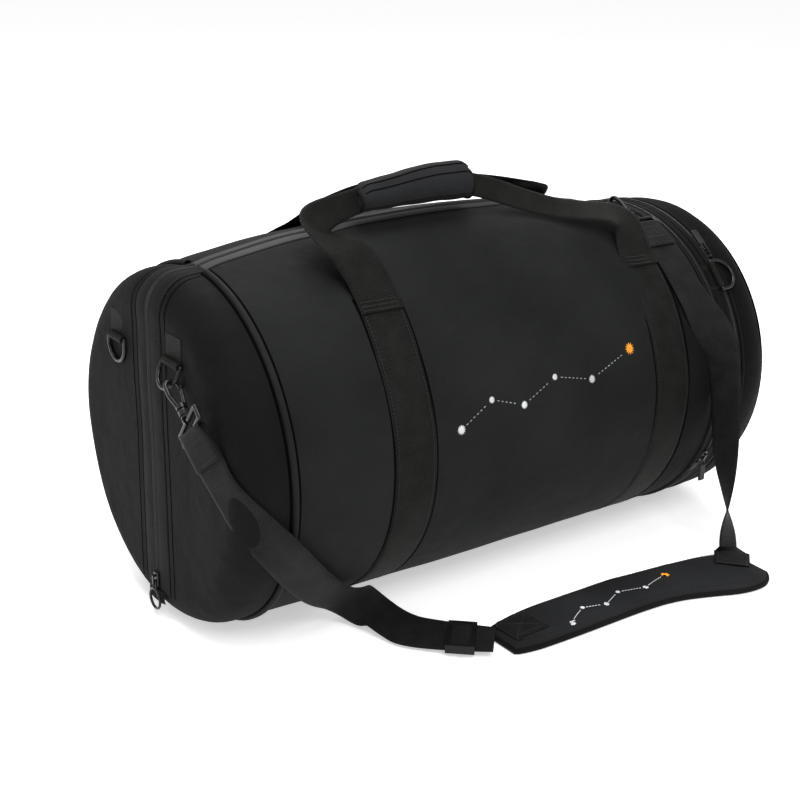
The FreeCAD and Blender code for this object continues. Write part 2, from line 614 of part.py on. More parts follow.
# ---------------------------------------------------------------- check and write
document.recompute()
for item in document.Objects:
    if "Invalid" in item.State or "Error" in item.State:
        raise RuntimeError(f"{item.Name} failed: {item.State}")
os.makedirs("parts", exist_ok=True)
for feature in subparts:
    if feature.Shape.isNull() or not feature.Shape.isValid():
        raise RuntimeError(f"{feature.Label} has no valid shape")
    feature.Shape.exportStep(f"parts/{feature.Label}.step")
    print(f"{feature.Label}: {feature.Shape.Volume / 1000:.1f} cm3, {len(feature.Shape.Solids)} solid(s)")
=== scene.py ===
import bpy
import math
from mathutils import Matrix, Vector, noise


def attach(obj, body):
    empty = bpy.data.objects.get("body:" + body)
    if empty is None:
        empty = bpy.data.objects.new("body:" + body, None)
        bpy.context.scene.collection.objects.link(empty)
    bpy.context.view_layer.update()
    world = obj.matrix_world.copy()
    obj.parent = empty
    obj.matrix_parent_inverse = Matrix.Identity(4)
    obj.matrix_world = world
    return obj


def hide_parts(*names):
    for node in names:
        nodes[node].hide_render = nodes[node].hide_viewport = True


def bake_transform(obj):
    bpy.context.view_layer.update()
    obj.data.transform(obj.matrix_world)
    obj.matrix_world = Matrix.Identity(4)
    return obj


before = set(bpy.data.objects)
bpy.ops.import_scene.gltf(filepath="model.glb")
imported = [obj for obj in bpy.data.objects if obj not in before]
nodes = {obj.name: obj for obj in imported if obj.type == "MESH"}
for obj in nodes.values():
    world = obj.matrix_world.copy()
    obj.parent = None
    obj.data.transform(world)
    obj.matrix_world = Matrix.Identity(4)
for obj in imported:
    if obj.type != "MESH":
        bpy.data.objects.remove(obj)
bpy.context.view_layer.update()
scene = bpy.context.scene

# Lengths are in millimetres up to the point where a mesh is made, and in metres for the camera,
# the lights and the floor. +X points to the pocket end, -Y is the carrying side, and +Z is up.
# Angles on the barrel are in degrees from the top towards the carrying side.
MM = 0.001
X, Y, Z = Vector((1, 0, 0)), Vector((0, 1, 0)), Vector((0, 0, 1))

RADIUS = 160.0
AXIS_HEIGHT = 159.5
END_FACE = -294.0
END_ROUND = 30.0
LEFT_RIM, RIGHT_RIM = -248.0, 249.0
BARREL_RIGHT = 246.0
HINGE_ANGLE = 360 - 135.7
# Right of END_CLOTH the barrel is in a darker cloth, and its cover is painted darker still, as the
# shade of a side that faces away from the light. There the front half reaches over the top
# to PATCH_REACH, down to PATCH_FOOT.
END_CLOTH, PATCH_REACH, PATCH_FOOT = 206, 64, 240
# The two bands of webbing round the barrel, and half the width of webbing and of a zip's tape.
LEFT_BAND, RIGHT_BAND = -127, 184
WEBBING_HALF, TAPE_HALF = 22, 22.0


def placed(name, data):
    """A new object in the scene."""
    item = bpy.data.objects.new(name, data)
    scene.collection.objects.link(item)
    return item


# ---------------- camera and lights
def camera():
    """The camera, from its direction, distance and roll about the middle of the case."""
    azimuth, height, roll = math.radians(-36.74), math.radians(19.85), 0.026
    distance, aim_height = 1.426, 0.16
    back = Vector((math.sin(azimuth) * math.cos(height), -math.cos(azimuth) * math.cos(height),
                   math.sin(height)))
    right = (-back).cross(Z).normalized()
    up = right.cross(-back)
    rolled_right = right * math.cos(roll) + up * math.sin(roll)
    rolled_up = up * math.cos(roll) - right * math.sin(roll)
    seen_from = placed("camera", bpy.data.cameras.new("camera"))
    turn = Matrix((rolled_right, rolled_up, back)).transposed()
    seen_from.matrix_world = Matrix.Translation(back * distance + Z * aim_height) @ turn.to_4x4()
    seen_from.data.lens = 64.35
    seen_from.data.sensor_width = 36
    seen_from.data.shift_x = -0.030
    seen_from.data.shift_y = -0.0115
    scene.camera = seen_from


def light(name, place, aim, power, width):
    """A square area light that looks at a point."""
    lamp = placed(name, bpy.data.lights.new(name, "AREA"))
    lamp.data.energy = power
    lamp.data.size = width
    lamp.location = place
    lamp.rotation_euler = (Vector(aim) - Vector(place)).to_track_quat("-Z", "Y").to_euler()


camera()
scene.view_settings.view_transform = "Standard"
light("key", (-0.5, -1.7, 2.1), (0, 0, 0.15), 35, 1.2)
light("top", (-0.2, 0.2, 2.4), (0, 0, 0.2), 50, 1.5)
light("rim", (1.1, 1.7, 1.7), (0.1, 0, 0.25), 18, 0.9)
light("left", (-2.2, 0.5, 1.3), (-0.2, 0, 0.2), 5, 1.2)


# ---------------- node materials
class Shader:
    """Builds a Principled material, one node at a time."""

    def __init__(self, name, **sockets):
        self.material = bpy.data.materials.new(name)
        self.material.use_nodes = True
        self.tree = self.material.node_tree
        self.bsdf = self.tree.nodes["Principled BSDF"]
        for socket, value in sockets.items():
            self.bsdf.inputs[socket.replace("_", " ")].default_value = value

    def add(self, kind, inputs=(), **settings):
        """A node with its settings and its inputs, each a value or another node's output."""
        node = self.tree.nodes.new(kind)
        for key, value in settings.items():
            setattr(node, key, value)
        for key, value in dict(inputs).items():
            if isinstance(value, bpy.types.NodeSocket):
                self.tree.links.new(value, node.inputs[key])
            else:
                node.inputs[key].default_value = value
        return node

    def coordinates(self, kind):
        """Texture coordinates: Object in metres, or UV in millimetres along and across."""
        return self.add("ShaderNodeTexCoord").outputs[kind]

    def noise(self, vector, scale, detail):
        return self.add("ShaderNodeTexNoise", {"Vector": vector, "Scale": scale,
                                               "Detail": detail}).outputs["Fac"]

    def ramp(self, value, low, high, dark, bright):
        """Maps a value between low and high to two colours."""
        node = self.add("ShaderNodeMapRange", {"Value": value, "From Min": low, "From Max": high})
        mix = self.add("ShaderNodeMix", {"Factor": node.outputs["Result"]}, data_type="RGBA")
        mix.inputs["A"].default_value = (*dark, 1)
        mix.inputs["B"].default_value = (*bright, 1)
        return mix.outputs["Result"]

    def math(self, operation, first, second=0.0):
        return self.add("ShaderNodeMath", {0: first, 1: second}, operation=operation).outputs[0]

    def bump(self, height, strength, distance, under=None):
        inputs = {"Height": height, "Strength": strength, "Distance": distance}
        if under is not None:
            inputs["Normal"] = under
        return self.add("ShaderNodeBump", inputs).outputs["Normal"]

    def finish(self, **links):
        """Links outputs to the shader's sockets and returns the material."""
        for socket, output in links.items():
            self.tree.links.new(output, self.bsdf.inputs[socket.replace("_", " ")])
        return self.material


def waves(shader, value, pitch):
    """A rounded ridge every pitch along a coordinate: 0 to 1."""
    turned = shader.math("MULTIPLY", value, 2 * math.pi / pitch)
    return shader.math("MULTIPLY_ADD", shader.math("SINE", turned), 0.5)


def woven(name, colour, lift, thread, rough=0.75, coordinate="UV"):
    """Plain-woven polyester: warp and weft threads, slubs, and a slow change of tone."""
    shader = Shader(name, Roughness=rough, Sheen_Weight=0.012, Sheen_Roughness=0.4,
                    Specular_IOR_Level=0.07)
    shader.bsdf.inputs["Sheen Tint"].default_value = (0.75, 0.8, 0.9, 1)
    place = shader.coordinates(coordinate)
    parts = shader.add("ShaderNodeSeparateXYZ", {0: place})
    scale = thread if coordinate == "UV" else thread * MM
    along = waves(shader, parts.outputs["X"], scale)
    across = waves(shader, parts.outputs["Y"], scale)
    weave = shader.math("MAXIMUM", along, across)
    solid = shader.coordinates("Object")
    slow = shader.noise(solid, 9.0, 4.0)
    speckle = shader.noise(solid, 900.0, 2.0)
    tone = shader.math("MULTIPLY_ADD", speckle, 0.35)
    shader.tree.links.new(slow, tone.node.inputs[2])
    paint = shader.ramp(tone, 0.42, 0.95, colour, lift)
    fuzz = shader.noise(solid, 260.0, 3.0)
    bumped = shader.bump(shader.noise(solid, 17.0, 3.0), 0.7, 0.009)
    bumped = shader.bump(fuzz, 0.35, 0.0006, bumped)
    bumped = shader.bump(weave, 0.7, 0.00022, bumped)
    rough_map = shader.add("ShaderNodeMapRange", {"Value": slow, "To Min": rough - 0.08,
                                                  "To Max": rough + 0.1}).outputs["Result"]
    return shader.finish(Base_Color=paint, Normal=bumped, Roughness=rough_map)


def ribbed(name, colour, lift, coordinate="UV"):
    """Heavy webbing: slanting ribs across its length, over threads that run along it.

    The ribs' crests are painted lighter as a highlight, over a random worn tone.
    """
    shader = Shader(name, Roughness=0.62, Sheen_Weight=0.012, Sheen_Roughness=0.35,
                    Specular_IOR_Level=0.09)
    unit = 1.0 if coordinate == "UV" else MM
    place = shader.coordinates(coordinate)
    parts = shader.add("ShaderNodeSeparateXYZ", {0: place})
    zigzag = shader.math("PINGPONG", parts.outputs["Y"], 1.1 * unit)
    slanted = shader.math("MULTIPLY_ADD", zigzag, 0.6)
    length = parts.outputs["X" if coordinate == "UV" else "Z"]
    shader.tree.links.new(length, slanted.node.inputs[2])
    rib = waves(shader, slanted, 1.7 * unit)
    thread = waves(shader, parts.outputs["Y"], 2.2 * unit)
    solid = shader.coordinates("Object")
    worn = shader.noise(solid, 60.0, 4.0)
    # Painted highlight: the rib crests are made lighter, on top of a random worn tone.
    tone = shader.math("MULTIPLY_ADD", rib, 0.4)
    shader.tree.links.new(worn, tone.node.inputs[2])
    paint = shader.ramp(tone, 0.4, 1.1, colour, lift)
    bumped = shader.bump(rib, 0.9, 0.0005)
    bumped = shader.bump(thread, 0.35, 0.0003, bumped)
    return shader.finish(Base_Color=paint, Normal=bumped)


def metal(name, colour, rough):
    """Black-plated die-cast metal with fine scratches and uneven gloss."""
    shader = Shader(name, Roughness=rough, Specular_IOR_Level=0.32)
    solid = shader.coordinates("Object")
    smudge = shader.noise(solid, 140.0, 5.0)
    paint = shader.ramp(smudge, 0.35, 0.75, colour, tuple(c * 2.2 for c in colour))
    scratch = shader.noise(solid, 1600.0, 2.0)
    rough_map = shader.add("ShaderNodeMapRange", {"Value": smudge, "To Min": rough - 0.08,
                                                  "To Max": rough + 0.18}).outputs["Result"]
    return shader.finish(Base_Color=paint, Roughness=rough_map,
                         Normal=shader.bump(scratch, 0.15, 0.0002))


def coiled(name, colour, lift):
    """A nylon zip coil: one turn after another along its length, the crest of each painted bright
    as a highlight.
    """
    shader = Shader(name, Roughness=0.4, Specular_IOR_Level=0.22)
    parts = shader.add("ShaderNodeSeparateXYZ", {0: shader.coordinates("UV")})
    turn = waves(shader, parts.outputs["X"], 1.5)
    # Painted highlight: each turn's crest is made brighter.
    paint = shader.ramp(turn, 0.35, 0.9, colour, lift)
    return shader.finish(Base_Color=paint, Normal=shader.bump(turn, 0.9, 0.0006))


def moulded(name, colour, rough=0.5, gloss=0.2):
    """Moulded plastic or rubber with a fine spark-eroded grain."""
    shader = Shader(name, Roughness=rough, Specular_IOR_Level=gloss)
    solid = shader.coordinates("Object")
    grain = shader.noise(solid, 1200.0, 2.0)
    patch = shader.noise(solid, 45.0, 3.0)
    paint = shader.ramp(patch, 0.3, 0.75, colour, tuple(c * 1.7 for c in colour))
    return shader.finish(Base_Color=paint, Normal=shader.bump(grain, 0.4, 0.0003))


NYLON = woven("nylon", (0.0052, 0.0054, 0.0056), (0.0135, 0.0139, 0.0143), 1.1)
# Painted shade: the barrel's nylon made darker for the ends, which face away from the light. The
# first is for the front half, the ring and the cap band, the second, a little darker, for the rear
# flap.
SHADED_END_NYLON = woven("shaded_end_nylon", (0.0023, 0.0024, 0.0025), (0.0068, 0.0070, 0.0072), 1.1)
SHADED_REAR_END_NYLON = woven("shaded_rear_end_nylon", (0.0021, 0.0022, 0.0023), (0.0060, 0.0062, 0.0064), 1.1)
# Painted shade: the barrel's nylon made much darker for the pocket lid, which faces away from the
# light.
SHADED_LID_NYLON = woven("shaded_lid_nylon", (0.0010, 0.0010, 0.0011), (0.0030, 0.0031, 0.0032), 1.1)
# Painted light: the zip's strip made light grey for the light it catches where it runs over the
# top.
LIT_STRIP = woven("strip_fabric", (0.029, 0.029, 0.029), (0.060, 0.060, 0.060), 0.8, rough=0.6)
# Painted shade: the same strip made dark where it runs down the left end and round the right end.
SHADED_END_STRIP = woven("shaded_end_strip_fabric", (0.0050, 0.0050, 0.0052), (0.0140, 0.0140, 0.0145), 0.8)
PADDING = woven("padding_fabric", (0.0085, 0.0088, 0.0094), (0.0200, 0.0206, 0.0218), 0.9)
PIPING = woven("piping_cloth", (0.0050, 0.0050, 0.0054), (0.0160, 0.0160, 0.0165), 0.7, rough=0.6)
BINDING = woven("binding_tape", (0.0028, 0.0028, 0.0030), (0.0085, 0.0085, 0.0090), 0.7)
LINING = woven("lining_cloth", (0.020, 0.021, 0.023), (0.040, 0.041, 0.045), 1.4,
               coordinate="Object")
FOAM = moulded("foam_core", (0.030, 0.030, 0.033), 0.9)
OLIVE_BLACK = (0.0030, 0.0030, 0.0024), (0.0096, 0.0094, 0.0078)
WEBBING = ribbed("webbing", *OLIVE_BLACK)
TAB_WEBBING = ribbed("tab_webbing", *OLIVE_BLACK, coordinate="Object")
STRAP = ribbed("strap_webbing", (0.0042, 0.0042, 0.0042), (0.0136, 0.0136, 0.0138))
# The coil's second colour is a painted highlight on each turn.
TEETH = coiled("zip_coil", (0.003, 0.003, 0.0035), (0.016, 0.016, 0.017))
METAL = metal("black_metal", (0.0035, 0.0035, 0.004), 0.22)
MOULDED = moulded("pull_plastic", (0.012, 0.012, 0.013))
ADJUSTER = moulded("adjuster_plastic", (0.0026, 0.0026, 0.0028), 0.45)
GARAGE = moulded("garage_rubber", (0.010, 0.010, 0.011), 0.6)
# Painted shade: the dark tubes laid along seams and edges stand for the shadow in their grooves.
SEAM_SHADOW = moulded("seam_shadow", (0.0007, 0.0007, 0.0008), 0.95, gloss=0.03)
THREAD = moulded("stitch_thread", (0.014, 0.014, 0.015), 0.6)
PALE_THREAD = moulded("pale_thread", (0.42, 0.42, 0.43), 0.55)
WARM_THREAD = moulded("warm_thread", (0.62, 0.24, 0.02), 0.55)


# ---------------- mesh makers
def made(name, points, faces, material, body, uvs=None, slot=None):
    """A mesh object from points in millimetres, riding on a body.

    What would reach below the standing plane is pressed flat on it.
    """
    mesh = bpy.data.meshes.new(name)
    pressed = [(point.x * MM, point.y * MM, max(point.z, 0.0) * MM) for point in points]
    mesh.from_pydata(pressed, [], faces)
    mesh.polygons.foreach_set("use_smooth", [True] * len(mesh.polygons))
    mesh.materials.append(material)
    if uvs is not None:
        layer = mesh.uv_layers.new(name="UVMap")
        flat = [c for polygon in mesh.polygons for v in polygon.vertices for c in uvs[v]]
        layer.data.foreach_set("uv", flat)
    mesh.validate()
    mesh.update()
    piece = placed(name, mesh)
    if body is not None:
        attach(piece, body)
    return piece


def modified(piece, kind, **settings):
    """Adds a modifier and applies it."""
    modifier = piece.modifiers.new(kind.lower(), kind)
    for key, value in settings.items():
        setattr(modifier, key, value)
    with bpy.context.temp_override(object=piece, active_object=piece, selected_objects=[piece]):
        bpy.ops.object.modifier_apply(modifier=modifier.name)


def surface(name, rows, uv_rows, material, body, keep=None, **more):
    """A surface through rows of points, each row closed on itself.

    keep says which cells, by row and column, are made.
    """
    width = len(rows[0])
    points = [point for row in rows for point in row]
    uvs = [uv for row in uv_rows for uv in row]
    faces = []
    for i in range(len(rows) - 1):
        for j in range(width):
            if keep is None or keep(i, j):
                k = (j + 1) % width
                faces.append((i * width + j, (i + 1) * width + j, (i + 1) * width + k,
                              i * width + k))
    used = sorted({v for face in faces for v in face})
    place = {v: n for n, v in enumerate(used)}
    faces = [tuple(place[v] for v in face) for face in faces]
    return made(name, [points[v] for v in used], faces, material, body,
                [uvs[v] for v in used], **more)


def lengths(points):
    """The running length at each point of a path."""
    total = [0.0]
    for before, after in zip(points, points[1:]):
        total.append(total[-1] + (after - before).length)
    return total


def tube(name, path, radius, material, body, sides=10, closed=False, **more):
    """A round cord along a path."""
    rows, uv_rows = [], []
    total = lengths(path)
    side = None
    count = len(path)
    for index, point in enumerate(path):
        before = path[(index - 1) % count] if closed else path[max(index - 1, 0)]
        after = path[(index + 1) % count] if closed else path[min(index + 1, count - 1)]
        along = (after - before).normalized()
        if side is None:
            side = along.orthogonal().normalized()
        side = (side - along * side.dot(along)).normalized()
        other = along.cross(side)
        ring = []
        for k in range(sides):
            turn = 2 * math.pi * k / sides
            ring.append(point + (side * math.cos(turn) + other * math.sin(turn)) * radius)
        rows.append(ring)
        uv_rows.append([(total[index], 2 * math.pi * radius * k / sides) for k in range(sides)])
    if closed:
        rows.append(rows[0])
        uv_rows.append(uv_rows[0])
    return surface(name, rows, uv_rows, material, body, **more)


def band(name, stations, thickness, material, body, columns=9, crown=0.0, **more):
    """Flat webbing through stations of (centre, half width vector, outward normal).

    It has a rounded edge, an even thickness and UVs in millimetres along and across.
    """
    rows, uv_rows = [], []
    total = lengths([centre for centre, _, _ in stations])
    for (centre, half, normal), run in zip(stations, total):
        top, low, uv_row = [], [], []
        for k in range(columns):
            t = -1 + 2 * k / (columns - 1)
            edge = max(0.0, abs(t) - 0.93) / 0.07
            rise = thickness / 2 * math.sqrt(max(0.0, 1 - edge * edge)) * 0.999 + 0.001
            arch = crown * (1 - t * t)
            middle = centre + half * t + normal * arch
            top.append(middle + normal * rise)
            low.append(middle - normal * rise)
            uv_row.append((run, half.length * t))
        rows.append(top + low[::-1])
        uv_rows.append(uv_row + uv_row[::-1])
    return surface(name, rows, uv_rows, material, body, **more)


def route(points):
    """A smooth line near the given points: their NURBS spline, read as a polyline."""
    curve = bpy.data.curves.new("route", "CURVE")
    curve.dimensions = "3D"
    spline = curve.splines.new("NURBS")
    spline.points.add(len(points) - 1)
    for knot, point in zip(spline.points, points):
        knot.co = (*point, 1)
    spline.order_u = 3
    spline.use_endpoint_u = True
    spline.resolution_u = 10
    holder = bpy.data.objects.new("route", curve)
    line = bpy.data.meshes.new_from_object(holder)
    found = [vertex.co.copy() for vertex in line.vertices]
    bpy.data.objects.remove(holder)
    bpy.data.meshes.remove(line)
    bpy.data.curves.remove(curve)
    return found


def flowing(stations):
    """Smooth stations (centre, half width, normal) from a few (centre, across, half width)."""
    arm = 20
    middle = route([centre for centre, _, _ in stations])
    edge = route([Vector(centre) + Vector(across).normalized() * arm
                  for centre, across, _ in stations])
    reach = route([X * half for _, _, half in stations])
    smooth = []
    for index, centre in enumerate(middle):
        before, after = middle[max(index - 1, 0)], middle[min(index + 1, len(middle) - 1)]
        along = (after - before).normalized()
        half = edge[index] - centre
        half = (half - along * half.dot(along)).normalized() * reach[index].x
        smooth.append((centre, half, along.cross(half).normalized()))
    return smooth


def places(line):
    """The points of a line of (point, normal)."""
    return [point for point, _ in line]


def stitches(name, paths, body, pitch=3.6, length=2.4, radius=0.28, material=THREAD):
    """Rows of short raised stitches along paths of (point, normal) on a surface."""
    points, faces = [], []
    for path in paths:
        total = lengths(places(path))
        start = 0.0
        index = 0
        while start + length < total[-1]:
            while total[index + 1] < start:
                index += 1
            (a, normal), (b, _) = path[index], path[index + 1]
            along = (b - a).normalized()
            foot = a + along * (start - total[index])
            side = along.cross(normal).normalized() * radius
            first = len(points)
            for along_step, lift in ((0, -0.1), (0.25, 0.8), (0.75, 0.8), (1, -0.1)):
                middle = foot + along * (length * along_step) + normal * (lift * radius)
                points += [middle - side, middle + normal * radius, middle + side]
            for k in range(3):
                for m in range(2):
                    v = first + 3 * k + m
                    faces.append((v, v + 3, v + 4, v + 1))
            start += pitch
    return made(name, points, faces, material, body)


def joined(name, pieces):
    """Several pieces of one material as one object."""
    base = pieces[0]
    with bpy.context.temp_override(active_object=base, object=base, selected_objects=pieces,
                                   selected_editable_objects=pieces):
        bpy.ops.object.join()
    base.name = name


# ---------------- the barrel's own skin
FLAT = RADIUS - END_ROUND
ARC = END_ROUND * math.pi / 2
TOP_BULGE = 23.0


def s_of(x):
    """The distance from the middle of the left end, over its edge, to a place on the barrel."""
    return FLAT + ARC + (x - END_FACE - END_ROUND)


RIM_S = s_of(LEFT_RIM)


def smooth_step(value, low, high):
    """0 up to low, 1 from high on, and an eased rise between them."""
    t = min(max((value - low) / (high - low), 0.0), 1.0)
    return t * t * (3 - 2 * t)


def swell(x, angle):
    """How far the soft barrel stands out of its round shape, in millimetres."""
    if x < LEFT_RIM or x > BARREL_RIGHT:
        return 0.0
    across = max(1 - ((x + 1) / 247) ** 2, 0.0)
    right_end = 1 - smooth_step(x, 188, 214)
    turn = math.radians(angle)
    top = max(0.0, math.cos(turn)) ** 4
    pillow = 2.2 * across ** 0.5
    for middle in (LEFT_BAND, RIGHT_BAND):
        pillow -= 1.6 * math.exp(-((x - middle) / 20) ** 2)
    return max(pillow, 0.0) + TOP_BULGE * top * across ** 0.8 * right_end


def creases(point, angle):
    """Folds and dents of the soft walls, strongest near the feet of the front handle."""
    slow = noise.noise(point * 0.011 + Vector((3.1, 0, 0))) * 1.6
    fold_at = Vector((point.x * 0.022 + point.z * 0.010, point.y * 0.008, point.z * 0.020))
    fold = noise.noise(fold_at + Vector((0, 7.7, 0)))
    right_foot = math.exp(-((point.x - 120) / 70) ** 2)
    left_foot = 0.6 * math.exp(-((point.x + 120) / 50) ** 2)
    near_handle = math.exp(-((angle - 38) / 26) ** 2) * (0.25 + right_foot + left_foot)
    return slow + fold * (1.0 + 3.8 * near_handle)


def outward(angle):
    """The direction away from the barrel's axis, at an angle round it."""
    turn = math.radians(angle)
    return Vector((0, -math.sin(turn), math.cos(turn)))


def settled(point):
    """The point, eased up where the cloth would pass through the floor."""
    if point.z < 12:
        point.z = (point.z + math.sqrt(point.z ** 2 + 4)) / 2
    return point


def bare_skin(s, angle):
    """The round barrel with its closed left end: point and outward direction."""
    out = outward(angle)
    centre = Vector((0, 0, AXIS_HEIGHT))
    if s <= FLAT:
        return centre + out * s + X * END_FACE, -X
    if s <= FLAT + ARC:
        bend = (s - FLAT) / END_ROUND
        way = -X * math.cos(bend) + out * math.sin(bend)
        return centre + out * FLAT + X * (END_FACE + END_ROUND) + way * END_ROUND, way
    x = END_FACE + END_ROUND + s - FLAT - ARC
    return centre + out * RADIUS + X * x, out


def skin(s, angle, lift=0.0):
    """A point over the soft skin, at a distance along the profile and an angle."""
    point, way = bare_skin(s, angle)
    amount = swell(point.x, angle) if s > FLAT + ARC else 0.0
    fade = smooth_step(abs(s - RIM_S), 2, 30) * (1 - smooth_step(point.x, 225, 246))
    amount += creases(point, min(angle % 360, 360 - angle % 360)) * fade * 0.55
    if s < RIM_S:
        dome = max(math.sin(math.pi * min(s / RIM_S, 1.0)), 0.0) ** 0.7
        amount += 0.5 * dome * smooth_step(s, 0, 40)
    return settled(point + way * (amount + lift))


def skin_normal(s, angle):
    """The outward direction of the soft skin."""
    ds = skin(s + 2, angle) - skin(s - 2, angle)
    da = skin(s, angle + 1) - skin(s, angle - 1)
    normal = da.cross(ds).normalized()
    return normal if normal.dot(bare_skin(s, angle)[1]) > 0 else -normal


def on_skin(s, angle, lift):
    """A point over the soft skin, and the outward direction there."""
    return skin(s, angle, lift), skin_normal(s, angle)


ANGLES = [2.0 * k for k in range(180)]
STATIONS = ([1.0] + [6.0 * k for k in range(1, 21)]
            + [124 + 4.0 * k for k in range(int((s_of(-240) - 124) / 4))]
            + [s_of(x) for x in [*range(-240, 206, 6), 206, 212, 220, 228, 236, 242, 246]])


def in_rear(point, angle):
    """Whether a place belongs to the rear flap.

    Across the left end, the flap's lower edge rises from the zip to the hinge.
    """
    if point.x > END_CLOTH and point.z > PATCH_FOOT and point.y < PATCH_REACH:
        return False
    if point.x < LEFT_RIM - 15:
        return point.y > 0 and point.z > 20 + 25 * point.y / 111.5
    return HINGE_ANGLE < angle < 360


def barrel_cover(name, rear, replaced):
    """The outer fabric of the front half or of the rear flap."""
    rows = [[skin(s, angle) for angle in ANGLES] for s in STATIONS]
    uv_rows = [[(s, RADIUS * math.radians(angle)) for angle in ANGLES] for s in STATIONS]

    def keep(i, j):
        angle = ANGLES[j] + 1.0
        point, _ = bare_skin((STATIONS[i] + STATIONS[i + 1]) / 2, angle)
        return in_rear(point, angle) == rear

    cover = surface(name, rows, uv_rows, NYLON, None, keep=keep, slot="nylon")
    modified(cover, "SOLIDIFY", thickness=0.0012, offset=-1)
    # Painted shade: left of the rim and right of END_CLOTH the cover takes the darker copy of the
    # nylon.
    cover.data.materials.append(SHADED_REAR_END_NYLON if rear else SHADED_END_NYLON)
    for polygon in cover.data.polygons:
        x = polygon.center.x / MM
        if x < LEFT_RIM + 1 or x > END_CLOTH:
            polygon.material_index = 1
    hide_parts(replaced)
    if rear:
        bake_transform(cover)
    else:
        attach(cover, "case")


barrel_cover("front_cover", False, "front_shell")
barrel_cover("rear_cover", True, "rear_shell")


# ---------------- rims, painted seam shade and webbing
def arc_angles(start, stop, step=3.0):
    """Angles from start to stop, about a step apart."""
    count = max(2, int(round((stop - start) / step)))
    return [start + (stop - start) * k / count for k in range(count + 1)]


def rim(name, x, start, stop, body, replaced):
    """Covered piping round part of the barrel, between two dark lines of painted shade in its
    seams.
    """
    def ring(place, lift):
        return [skin(s_of(place), angle, lift) for angle in arc_angles(start, stop)]

    cord = tube(name, ring(x, 2.0), 3.1, PIPING, body, sides=12, slot="piping")
    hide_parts(replaced)
    seams = [tube(f"{name}_{side}_seam", ring(x + offset, 0.6), 1.5, SEAM_SHADOW, body, sides=6)
             for side, offset in (("left", -4.1), ("right", 4.3))]
    joined(f"{name}_seams", seams)


rim("left_front_piping", LEFT_RIM, 6, HINGE_ANGLE - 1, "case", "left_piping_front")
rim("left_rear_piping", LEFT_RIM, HINGE_ANGLE + 3, 354, "rear_flap", "left_piping_rear")


def round_webbing(name, middle, start, stop, body, replaced):
    """A flat band of webbing sewn round the barrel, with stitches and painted shade along each
    edge.
    """
    stations = []
    half = X * WEBBING_HALF
    for angle in arc_angles(start, stop, 2.5):
        normal = skin_normal(s_of(middle), angle)
        centre = (skin(s_of(middle - 20), angle) + skin(s_of(middle + 20), angle)) / 2
        bulge = skin(s_of(middle), angle)
        centre = centre if (centre - bulge).dot(normal) > 0 else bulge
        stations.append((centre + normal * 1.1, half, normal))
    webbing = band(name, stations, 1.7, WEBBING, body, slot="webbing")
    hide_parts(replaced)
    rows = [[(centre + X * side + normal * 0.85, normal) for centre, _, normal in stations]
            for side in (-18.5, 18.5)]
    stitches(name + "_stitches", rows, body)
    for number, side in enumerate((-22.6, 22.6)):
        path = [centre + X * side - normal * 0.3 for centre, _, normal in stations]
        tube(f"{name}_edge_{number}", path, 1.1, SEAM_SHADOW, body, sides=6)


for side, middle in (("left", LEFT_BAND), ("right", RIGHT_BAND)):
    round_webbing(f"{side}_front_band", middle, 34, HINGE_ANGLE - 1, "case",
                  f"{side}_front_webbing")
    round_webbing(f"{side}_rear_band", middle, HINGE_ANGLE + 2, 326, "rear_flap",
                  f"{side}_rear_webbing")


# ---------------- main zip
TOP_NARROWING = 0.42
ZIP_FOOT = 24.0
STRIP_SEAM = 31.0


def zip_line(offset, lift, first=s_of(204)):
    """Points and normals beside the zip, at y = offset.

    It runs over the top, where the zip's strip is narrower, and down the left end.
    """
    line = []
    s = first
    while s > 0:
        point, _ = bare_skin(s, 0)
        ring = max(point.z - AXIS_HEIGHT, 1.0)
        slim = TOP_NARROWING * smooth_step(abs(offset), 4, 18) * smooth_step(s, FLAT, RIM_S + 20)
        beside = offset * (1 - slim)
        angle = math.degrees(math.atan2(-beside, ring))
        reach = math.hypot(offset, s) if s <= FLAT else s
        line.append(on_skin(reach, angle, lift))
        s -= 5.0
    s = 3.0
    while AXIS_HEIGHT - s > ZIP_FOOT:
        angle = 180 - math.degrees(math.atan2(-offset, s))
        reach = math.hypot(offset, s)
        line.append(on_skin(reach, angle, lift))
        s += 5.0
    return line


def zip_half(side, body, replaced_tape, replaced_teeth):
    """One tape of the main zip with its half of the coil and painted shade in its edge seam."""
    sign = -1 if side == "front" else 1
    inner = zip_line(sign * 1.0, 0.9)
    outer = zip_line(sign * TAPE_HALF, 0.6)
    stations = [((a + b) / 2, (b - a) / 2, normal) for (a, normal), (b, _) in zip(inner, outer)]
    tape = band(f"main_zip_tape_{side}", stations, 1.0, LIT_STRIP, body, columns=13, crown=1.4,
                slot="zip_tape")
    # Where the strip runs down the left end it takes the copy painted dark as shade.
    tape.data.materials.append(SHADED_END_STRIP)
    for polygon in tape.data.polygons:
        if polygon.center.x < LEFT_RIM * MM:
            polygon.material_index = 1
    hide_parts(replaced_tape)
    coil = tube(f"main_zip_coil_{side}", places(zip_line(sign * 1.5, 1.5)), 1.15, TEETH, body,
                sides=8, slot="zip_teeth")
    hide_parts(replaced_teeth)
    seam = places(zip_line(sign * (TAPE_HALF + 0.8), 0.5))
    tube(f"main_zip_seam_{side}", seam, 1.0, SEAM_SHADOW, body, sides=6)
    stitches(f"main_zip_stitches_{side}", [zip_line(sign * (TAPE_HALF - 2), 1.5)], body)


zip_half("front", "case", "zip_tape_front", "zip_teeth_front")
zip_half("rear", "rear_flap", "zip_tape_rear", "zip_teeth_rear")


